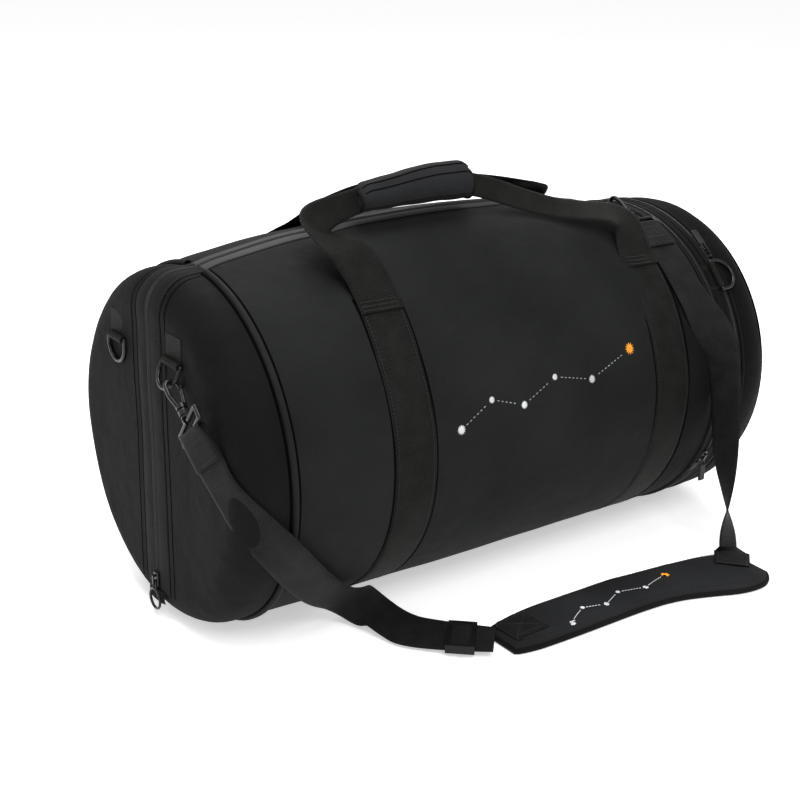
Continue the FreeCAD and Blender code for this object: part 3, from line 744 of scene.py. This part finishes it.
# ---------------- ring, pocket band and pocket lid
def turned(name, profile, material, body, replaced, wobble=0.6, **more):
    """A soft surface turned about the barrel's axis from (x, radius) points."""
    rows, uv_rows = [], []
    run = 0.0
    before = profile[0]
    for x, reach in profile:
        run += math.hypot(x - before[0], reach - before[1])
        before = (x, reach)
        centre = Vector((x, 0, AXIS_HEIGHT))
        row = []
        for angle in ANGLES:
            out = outward(angle)
            amount = noise.noise((centre + out * reach) * 0.014 + Vector((9, 4, 1))) * wobble * 2
            amount *= smooth_step(reach, 0, 40)
            row.append(settled(centre + out * (reach + amount)))
        rows.append(row)
        uv_rows.append([(run, RADIUS * math.radians(angle)) for angle in ANGLES])
    piece = surface(name, rows, uv_rows, material, body, **more)
    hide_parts(*replaced)


ring_profile = [(246, 146), (246.2, 158.5), (247, 160.2), (250.5, 160.2), (251.4, 158.6),
                (251.5, 146), (246, 146)]
# The ring and the cap band take the nylon painted darker as shade.
turned("right_ring_cover", ring_profile, SHADED_END_NYLON, "case", ["right_ring"], slot="nylon")
band_profile = [(252.6, 0.5), (252.6, 50), (252.6, 100), (252.6, 150), (252.7, 158),
                (253.6, 160.2), (256, 161.2), (262, 161.8), (268, 162), (274, 161.8),
                (279, 161), (282.4, 160.2), (283.2, 158), (283.2, 150), (264, 149), (262, 148),
                (261.4, 100), (261.4, 50), (261.4, 0.5), (252.6, 0.5)]
turned("cap_band_cover", band_profile, SHADED_END_NYLON, "end_cap", ["cap_band", "divider_panel"],
       wobble=0.25, slot="nylon")
lid_profile = [(330, 1), (330, 60), (330, 118), (326, 138), (316, 150), (304, 152), (284.2, 152),
               (284.2, 158), (285, 160.4), (290, 161.4), (298, 161.8), (306, 161.0), (314, 158.8),
               (321, 154.6), (327, 149), (332, 141.5), (336, 132), (338.5, 118), (340, 96),
               (341, 70), (341.5, 40), (341.6, 1)]
# The pocket lid's cover is painted dark as shade.
turned("pocket_lid_cover", lid_profile, SHADED_LID_NYLON, "pocket_lid", ["pocket_lid_shell"],
       wobble=0.9, slot="nylon")


def hoop(x, reach):
    """Points all round the barrel's axis that stay above the floor. The last is the first."""
    points = []
    for angle in arc_angles(0, 360):
        turn = math.radians(angle)
        point = Vector((x, -reach * math.sin(turn), AXIS_HEIGHT + reach * math.cos(turn)))
        point.z = max(point.z, 2.5 - 0.002 * x)
        points.append(point)
    return points


right_cord = tube("right_rim_piping", hoop(RIGHT_RIM - 0.6, RADIUS + 1.6)[:-1], 2.6, PIPING,
                  "case", sides=12, closed=True, slot="piping")
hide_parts("right_piping")
# Dark lines of painted shade in the seams by the right rim and on the pocket lid.
tube("right_rim_seam", hoop(RIGHT_RIM - 4.2, RADIUS + 0.4)[:-1], 0.75, SEAM_SHADOW, "case", sides=6,
     closed=True)
tube("lid_rim_piping", hoop(285.6, RADIUS + 1.0)[:-1], 1.9, BINDING, "pocket_lid", sides=12,
     closed=True)
tube("lid_seam", hoop(322.0, 154.3)[:-1], 0.8, SEAM_SHADOW, "pocket_lid", sides=6, closed=True)


def ring_zip(name, x, body, replaced):
    """A zip round the barrel: tape, coil and painted shade in its edge seams."""
    width = 5.5
    stations = []
    for point in hoop(x, RADIUS + 1.5):
        normal = (point - Vector((x, 0, AXIS_HEIGHT))).normalized()
        stations.append((point, X * width, normal))
    # The ring zips' tapes take the strip painted dark as shade.
    band(f"{name}_tape", stations, 0.8, SHADED_END_STRIP, body, slot="zip_tape")
    coil = tube(f"{name}_coil", hoop(x, RADIUS + 2.1), 1.3, TEETH, body, sides=8,
                slot="zip_teeth")
    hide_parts(replaced)
    seams = [tube(f"{name}_seam_{k}", hoop(x + k * width, RADIUS + 1.6), 0.6, SEAM_SHADOW, body, sides=6)
             for k in (-1, 1)]
    joined(f"{name}_seams", seams)


ring_zip("cap_zip", 258.4, "end_cap", "cap_zip_track")
ring_zip("pocket_zip", 277.6, "end_cap", "pocket_zip_track")

# ---------------- shoulder strap
# Each point of a strap's route, with the direction across the strap. part.py has the same points.
STRAP_HALF = 19.0
SHORT_STITCH = {"pitch": 2.6, "length": 1.9, "radius": 0.34}
LEFT_BAR = Vector((-306.4, -97.1, 213.1))
RIGHT_BAR = Vector((227.0, -61.2, 314.0))
LEFT_RUN = [
    (LEFT_BAR, (0, -0.6, 0.8)),
    ((-301, -112, 194), (0.2, -0.55, 0.82)),
    ((-297, -131, 171), (0.05, -0.62, 0.8)),
    ((-286, -152, 148), (0.31, -0.42, 0.83)),
    ((-264, -163, 120), (0.46, -0.4, 0.71)),
    ((-231, -150, 80), (0.7, -0.4, 0.54)),
    ((-196, -128, 45), (0.85, -0.38, 0.39)),
    ((-165, -116, 27), (0.9, -0.3, 0.3)),
    ((-144, -124, 15), (1, -0.1, 0.1)),
    ((-138, -148, 9), (0.9, 0.35, 0.25)),
    ((-132, -175, 9), (0.62, 0.7, 0.3)),
    ((-80, -221, 9), (0.66, 0.75, 0.1)),
]
RIGHT_RUN = [
    (RIGHT_BAR, (1, 0, 0)),
    ((227, -80, 305), (1, 0, 0)),
    ((227, -105, 288), (1, 0, 0)),
    ((228, -128, 265), (1, -0.1, -0.1)),
    ((233, -150, 240), (0.8, -0.5, -0.3)),
    ((238, -175, 206), (0.25, -0.96, 0.1)),
    ((240, -183, 150), (0, -1, 0)),
    ((240, -188, 100), (-0.1, -1, 0)),
    ((238, -198, 55), (-0.6, -0.8, 0)),
    ((232, -208, 28), (-0.95, -0.3, 0)),
    ((228, -214, 14), (-0.95, -0.3, 0)),
]


def sewn_fold(name, stations, facing, reach=34.0):
    """The strap's end turned round the loop's bar and sewn down on the strap's outer side."""
    total = lengths([centre for centre, _, _ in stations])
    near = [station for station, run in zip(stations, total) if run < reach]
    side = 1 if near[0][2].dot(facing) > 0 else -1
    over = [(centre + normal * (side * (2.0 + 1.0 * math.exp(-run / 6))), half, normal)
            for (centre, half, normal), run in zip(near, total)]
    centre, half, normal = near[0]
    along = (near[1][0] - centre).normalized()
    turn = []
    for angle in range(15, 180, 15):
        bend = math.radians(angle)
        way = normal * (side * math.cos(bend)) - along * math.sin(bend)
        turn.append((centre + way * 3.0, half, way * side))
    under = [(centre - normal * (side * (0.8 + 2.2 * math.exp(-run / 5))), half, -normal)
             for (centre, half, normal), run in zip(near[:3], total)]
    fold = band(name, over[::-1] + turn + under, 1.6, STRAP, "case", slot="webbing")
    rows = [[(centre + half * (k / 10) + normal * (side * 0.9), normal * side)
             for k in range(-9, 10)] for centre, half, normal in (over[-2], over[-5], over[2])]
    sewing = stitches(name + "_stitches", rows, "case", **SHORT_STITCH)
    return fold, sewing


def strap(side, run, facing):
    """One free stretch of the shoulder strap, from its hook's loop to the pad."""
    stations = flowing([(centre, across, STRAP_HALF) for centre, across in run])
    webbing = band(f"strap_{side}", stations, 1.8, STRAP, "case", columns=13, slot="webbing")
    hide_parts(f"strap_{side}_run")
    pieces = sewn_fold(f"strap_{side}_fold", stations, facing)
    return stations


strap("left", LEFT_RUN, Vector((-1, -1, 0)))
RIGHT_STRAP = strap("right", RIGHT_RUN, Vector((0, -0.3, 1)))

# ---------------- shoulder pad
# Points along the pad's middle, with the direction across it and half its width there.
PAD_THICKNESS = 12.0
PAD_TAPER = 30
PAD_LINE = [
    ((-71, -220, 0), (0.37, 0.93, 0), 20),
    ((-58, -220, 0), (0.25, 1, 0), 25),
    ((-20, -217, 0), (0.05, 1, 0), 29),
    ((30, -217, 0), (0, 1, 0), 29),
    ((80, -217, 0), (0.05, 1, 0), 28.5),
    ((125, -221, 0), (0.15, 1, 0), 28),
    ((165, -230, 0), (0.3, 1, 0), 33),
    ((200, -241, 0), (0.3, 1, 0), 37),
    ((224, -243, 0), (0.2, 1, 0), 31),
    ((232, -243, 0), (0.1, 1, 0), 18),
]


def pad_top(across, along_end):
    """Height of the pad's top from the floor: crowned, with a sewn channel inside its binding."""
    rounded, channel_at, channel_width = 0.42, 0.2, 0.035
    edge = min(1 - abs(across), along_end)
    crown = 1 - max(0.0, 1 - edge / rounded) ** 2.2
    channel = 1.5 * math.exp(-((edge - channel_at) / channel_width) ** 2)
    return 4.6 + (PAD_THICKNESS - 4.4) * crown - channel


def shoulder_pad():
    """The padded sleeve on the strap: two covers over foam, with bound edges."""
    stations = flowing(PAD_LINE)
    total = lengths([centre for centre, _, _ in stations])
    columns = 33
    rows, uv_rows, border, channel = [], [], [[], []], [[], []]
    for (centre, half, _), run in zip(stations, total):
        end = min(run, total[-1] - run) / PAD_TAPER
        top, low, uv = [], [], []
        for k in range(columns):
            t = math.sin(math.pi / 2 * (-1 + 2 * k / (columns - 1)))
            place = centre + half * t
            ripple = noise.noise(place * 0.03) * 0.8 + noise.noise(place * 0.09) * 0.35
            top.append(place + Z * (pad_top(t, end) + ripple * min(end, 1)))
            low.append(place + Z * 0.4)
            uv.append((run, half.length * t))
        rows.append(top + low[::-1])
        uv_rows.append(uv + uv[::-1])
        for which, sign in enumerate((-1, 1)):
            border[which].append(centre + half * sign + Z * 2.9)
            if end > 0.3:
                inset = 1 - 6 / max(half.length, 1)
                place = centre + half * (sign * max(inset, 0.2))
                channel[which].append((place + Z * (pad_top(inset, end) + 0.6), Z))
    cover = surface("shoulder_pad_cover", rows, uv_rows, PADDING, "case", slot="padding")
    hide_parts("shoulder_pad")
    outline = border[0] + border[1][::-1]
    tube("shoulder_pad_binding", outline, 2.7, BINDING, "case", closed=True, slot="piping")
    stitches("shoulder_pad_stitches", channel, "case", pitch=3.4, length=2.3)
    return stations


PAD_STATIONS = shoulder_pad()


def on_pad_top(place, lift):
    """The point over the pad's crowned top at a place given by its X and Y."""
    total = lengths([centre for centre, _, _ in PAD_STATIONS])
    flat = Vector((place.x, place.y, 0))
    index = min(range(len(total)), key=lambda k: (PAD_STATIONS[k][0] - flat).length)
    centre, half, _ = PAD_STATIONS[index]
    across = (flat - centre).dot(half) / half.length_squared
    end = min(total[index], total[-1] - total[index]) / PAD_TAPER
    return flat + Z * (pad_top(max(min(across, 1.0), -1.0), end) + lift)


def sewn_patch(name, start, stop, half, lead=()):
    """A short flat end of webbing on the pad, with a crossed box of stitches.

    lead holds the stations of the strap that it goes on from.
    """
    across = Vector((stop.y - start.y, start.x - stop.x, 0)).normalized()
    middle = [start.lerp(stop, k / 8) for k in range(9)]
    stations = [*lead, *((on_pad_top(place, 0.9), across * half, Z) for place in middle)]
    band(name, stations, 1.7, STRAP, "case", slot="webbing")
    corners = [middle[0] - across * half * 0.8, middle[0] + across * half * 0.8,
               middle[-1] + across * half * 0.8, middle[-1] - across * half * 0.8]
    rows = [[(on_pad_top(corners[a].lerp(corners[b], k / 16), 1.9), Z) for k in range(17)]
            for a, b in ((0, 1), (1, 2), (2, 3), (3, 0), (0, 2), (1, 3))]
    stitches(name + "_stitches", rows, "case", **SHORT_STITCH)


strap_end, strap_half, strap_normal = RIGHT_STRAP[-1]
strap_normal = strap_normal if strap_normal.z > 0 else -strap_normal
sewn_patch("pad_right_patch", Vector((227, -220, 0)), Vector((202, -243, 0)), 17.5,
           [(strap_end, strap_half, strap_normal)])
sewn_patch("pad_left_patch", Vector((-66, -220, 0)), Vector((-30, -218, 0)), 17)


# ---------------- carry handles
def above_skin(point, gap):
    """The same point, moved out from the barrel's axis where it would lie inside the skin."""
    centre = Vector((point.x, 0, AXIS_HEIGHT))
    out = point - centre
    angle = math.degrees(math.atan2(-out.y, out.z))
    reach = (skin(s_of(point.x), angle, gap) - centre).length
    return centre + out * max(1.0, reach / out.length)


def handle(side, parent, grip, legs):
    """Webbing sewn on the band at both ends, folded to half its width towards the grip."""
    sign = 1 if side == "front" else -1

    def turned_to(angle):
        return angle if sign > 0 else 360 - angle

    ends = []
    for x, across in ((LEFT_BAND, X), (RIGHT_BAND, -X)):
        ends.append([(skin(s_of(x), turned_to(angle), lift), across, WEBBING_HALF)
                     for angle, lift in ((39.5, 3.0), (37, 3.2), (34.5, 3.8))])
    stations = flowing(ends[0] + legs[0] + grip + legs[1] + ends[1][::-1])
    stations = [(above_skin(centre, 2.4), half, normal) for centre, half, normal in stations]
    webbing = band(f"{side}_handle", stations, 2.0, WEBBING, None, columns=13, crown=0.6,
                   slot="webbing")
    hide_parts(f"{side}_handle_webbing")
    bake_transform(webbing)
    for end, x in (("left", LEFT_BAND), ("right", RIGHT_BAND)):
        rows = [[on_skin(s_of(x + k), turned_to(angle), 4.3) for k in range(-19, 20, 2)]
                for angle in (36.2, 37.6, 39.0)]
        stitches(f"{side}_handle_stitches_{end}", rows, parent, pitch=2.6, length=1.9, radius=0.36)


handle("front", "case",
       [((-82, -23, 370), (0, -0.3, -1), 11), ((-36, -20, 374), -Z, 11),
        ((-4, -20, 374), -Z, 11), ((32, -23, 370), (0, -0.35, -1), 11)],
       [[((-130, -85, 320), X, 22),
         ((-140, -75, 336), (1, 0, -0.1), 22),
         ((-156, -63, 347), (0.9, -0.1, -0.35), 22),
         ((-161, -50, 356), (0.65, -0.3, -0.65), 20),
         ((-146, -38, 362), (0.3, -0.35, -0.9), 15),
         ((-116, -29, 366), (0.05, -0.35, -1), 12)],
        [((60, -30, 361), (0, -0.5, -1), 12),
         ((92, -38, 349), (0, -0.7, -0.8), 13),
         ((126, -50, 340), (-0.1, -0.9, -0.6), 14),
         ((158, -61, 337), (-0.4, -0.85, -0.35), 17),
         ((181, -70, 333), (-0.85, -0.5, -0.2), 20),
         ((189, -80, 322), (-1, -0.15, 0), 22)]])
handle("rear", "rear_flap",
       [((-78, 10, 365), (0, 0.3, -1), 11), ((-30, 12, 366), -Z, 11),
        ((24, 11, 364), (0, 0.3, -1), 11)],
       [[((-124, 81, 310), X, 21),
         ((-116, 61, 326), (1, 0.1, -0.1), 18),
         ((-106, 38, 342), (0.75, 0.4, -0.5), 15),
         ((-98, 18, 356), (0.2, 0.4, -0.9), 12)],
        [((60, 18, 360), (0, 0.5, -1), 12),
         ((100, 26, 353), (0, 0.7, -0.8), 13),
         ((136, 38, 346), (-0.1, 0.9, -0.6), 14),
         ((164, 52, 340), (-0.4, 0.85, -0.35), 17),
         ((184, 66, 332), (-0.85, 0.5, -0.2), 20),
         ((190, 79, 320), (-1, 0.15, 0), 22)]])

# ---------------- padded wrap of the handles
WRAP_LEFT, WRAP_LENGTH = -99.0, 129.0
WRAP_STEPS = 48


def wrap_shape(x, turn):
    """A point of the wrap: a soft closed sleeve, highest beyond the middle of its length."""
    t = (x - WRAP_LEFT) / WRAP_LENGTH
    end = min(t, 1 - t) * WRAP_LENGTH / 13
    end = math.sqrt(max(1 - max(1 - end, 0.0) ** 2, 0.0))
    height = (26 + 10 * smooth_step(t, 0.0, 0.72)) * (0.4 + 0.6 * end)
    depth = 15.0 * (0.45 + 0.55 * end)
    c, s = math.cos(turn), math.sin(turn)
    side = math.copysign(abs(c) ** 0.7, c)
    rise = math.copysign(abs(s) ** 0.8, s)
    narrow = 1 - 0.42 * max(s, 0) ** 1.4 - 0.3 * max(-s, 0) ** 2
    point = Vector((x, -21 - side * depth * narrow, 357 + height * (0.5 + 0.5 * rise)))
    dimple = noise.noise(point * 0.045) * 1.1
    return point + Vector((0, -side, rise)) * dimple


def wrap_line(turn, inset):
    """Points and normals along the wrap at one place of its girth."""
    normal = Vector((0, -math.cos(turn), math.sin(turn)))
    length = WRAP_LENGTH - 2 * inset
    return [(wrap_shape(WRAP_LEFT + inset + length * k / 30, turn) + normal * 0.25, normal)
            for k in range(31)]


def wrap_ring(x):
    """Points round the wrap at one place of its length."""
    return [wrap_shape(x, 2 * math.pi * j / WRAP_STEPS) for j in range(WRAP_STEPS)]


def handle_wrap():
    """The padded sleeve that holds both handles together."""
    rows, uv_rows = [], []
    for k in range(61):
        t = 0.5 - 0.5 * math.cos(math.pi * k / 60)
        x = WRAP_LEFT + WRAP_LENGTH * t
        rows.append(wrap_ring(x))
        uv_rows.append([(x, 100.0 * j / WRAP_STEPS) for j in range(WRAP_STEPS)])
    cover = surface("handle_wrap_cover", rows, uv_rows, PADDING, "front_handle",
                    slot="padding")
    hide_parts("handle_wrap")
    for side, along in (("left", 2), ("right", WRAP_LENGTH - 2)):
        tube(f"handle_wrap_{side}_binding", wrap_ring(WRAP_LEFT + along), 1.7, BINDING,
             "front_handle", closed=True, slot="piping")
    for name, turn in (("front", math.radians(-38)), ("rear", math.radians(218))):
        tube(f"handle_wrap_{name}_edge", places(wrap_line(turn, 3)), 1.7, BINDING,
             "front_handle", slot="piping")
    # Dark lines of painted shade along the wrap's seams.
    seams = [tube(f"handle_wrap_seam_{k}", places(wrap_line(math.radians(turn), 5)), 0.55,
                  SEAM_SHADOW, "front_handle", sides=6) for k, turn in enumerate((28, 62, 122))]
    joined("handle_wrap_seams", seams)
    stitches("handle_wrap_stitches", [wrap_line(math.radians(turn), 5) for turn in (-26, 206)],
             "front_handle", pitch=3.2, length=2.2)


handle_wrap()


# ---------------- embroidered constellation
STARS = [(0, 0, 3.4), (26, 14, 2.4), (52, 6, 2.8), (80, 19, 2.4), (112, 12, 3.0), (150, 26, 4.4)]


def embroidery(name, place, body, scale):
    """Stars joined by running stitches. place(u, v) gives a point and a normal."""
    rows = []
    for (u0, v0, _), (u1, v1, _) in zip(STARS, STARS[1:]):
        steps = [(u0 + (u1 - u0) * k / 20, v0 + (v1 - v0) * k / 20) for k in range(3, 18)]
        rows.append([place(u * scale, v * scale) for u, v in steps])
    stitches(name + "_lines", rows, body, pitch=3.4 * scale, length=2.3 * scale,
             radius=0.45 * scale, material=PALE_THREAD)
    for number, (u, v, size) in enumerate(STARS):
        rays = []
        for ray in range(6):
            way = math.radians(30 * ray)
            rays.append([place((u + size * t * math.cos(way)) * scale,
                               (v + size * t * math.sin(way)) * scale)
                         for t in (-1, -0.5, 0, 0.5, 1)])
        paint = WARM_THREAD if number == len(STARS) - 1 else PALE_THREAD
        stitches(f"{name}_star_{number}", rays, body, pitch=size * scale * 2.1,
                 length=size * scale * 1.96, radius=0.7 * scale, material=paint)


def on_front(u, v):
    """A place on the barrel's front, from millimetres along and up."""
    first_x, first_angle = -78, 80
    return on_skin(s_of(first_x + u), first_angle - math.degrees(v / RADIUS), 0.3)


def on_pad(u, v):
    """A place on the shoulder pad's top, along the line of its middle."""
    first_x, first_y = -4, -22
    x = first_x + u
    middle = min((centre for centre, _, _ in PAD_STATIONS), key=lambda centre: abs(centre.x - x))
    return on_pad_top(Vector((x, middle.y + first_y + v, 0)), 0.9), Z


embroidery("body_constellation", on_front, "case", 1.4)
embroidery("pad_constellation", on_pad, "case", 0.9)


# ---------------- left end details
def end_seam(name, offset, body):
    """Painted shade in the seam that joins the zip's strip to the end panel."""
    tube(name, places(zip_line(offset, 0.5, first=RIM_S - 4)), 1.1, SEAM_SHADOW, body, sides=6)


end_seam("left_end_front_seam", -STRIP_SEAM, "case")
end_seam("left_end_rear_seam", STRIP_SEAM, "rear_flap")
garage = []
for k in range(9):
    bow = 2.6 + 1.2 * math.sin(math.pi * k / 8)
    garage.append((Vector((END_FACE - bow, 0, 15.5 + 1.5 * k)), Y * 15, -X))
garage_hood = band("main_zip_hood", garage, 1.6, BINDING, "case", crown=1.6, slot="garage")
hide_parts("main_zip_garage")

# ---------------- finish of the CAD nodes that show
FINISHES = {
    "front_foam": FOAM, "rear_foam": FOAM, "front_lining": LINING, "rear_lining": LINING,
    "main_zip_garage": GARAGE, "ring_zip_garage": GARAGE,
    "left_front_tab": TAB_WEBBING, "left_rear_tab": TAB_WEBBING,
    "right_front_tab": TAB_WEBBING, "top_tab": TAB_WEBBING,
    "ring_zip_pull": MOULDED, "pocket_zip_pull": MOULDED, "slide_adjuster": ADJUSTER,
}
for name, node in nodes.items():
    if not node.hide_render:
        node.data.materials.clear()
        node.data.materials.append(FINISHES.get(name, METAL))

# ---------------- stage
floor = bpy.data.meshes.new("floor")
FLOOR_REACH = 16
corners = [(x * FLOOR_REACH, y * FLOOR_REACH, 0) for x, y in ((-1, -1), (1, -1), (1, 1), (-1, 1))]
floor.from_pydata(corners, [], [(0, 1, 2, 3)])
floor_object = placed("floor", floor)
floor_shader = Shader("floor", Roughness=0.9, Specular_IOR_Level=0.1, Emission_Strength=0.5)
floor_shader.bsdf.inputs["Base Color"].default_value = (0.9, 0.9, 0.9, 1)
floor_shader.bsdf.inputs["Emission Color"].default_value = (1, 1, 1, 1)
floor.materials.append(floor_shader.material)
world = bpy.data.worlds.new("studio")
scene.world = world
world.use_nodes = True
background = world.node_tree.nodes["Background"]
background.inputs["Color"].default_value = (1, 1, 1, 1)
background.inputs["Strength"].default_value = 0.5
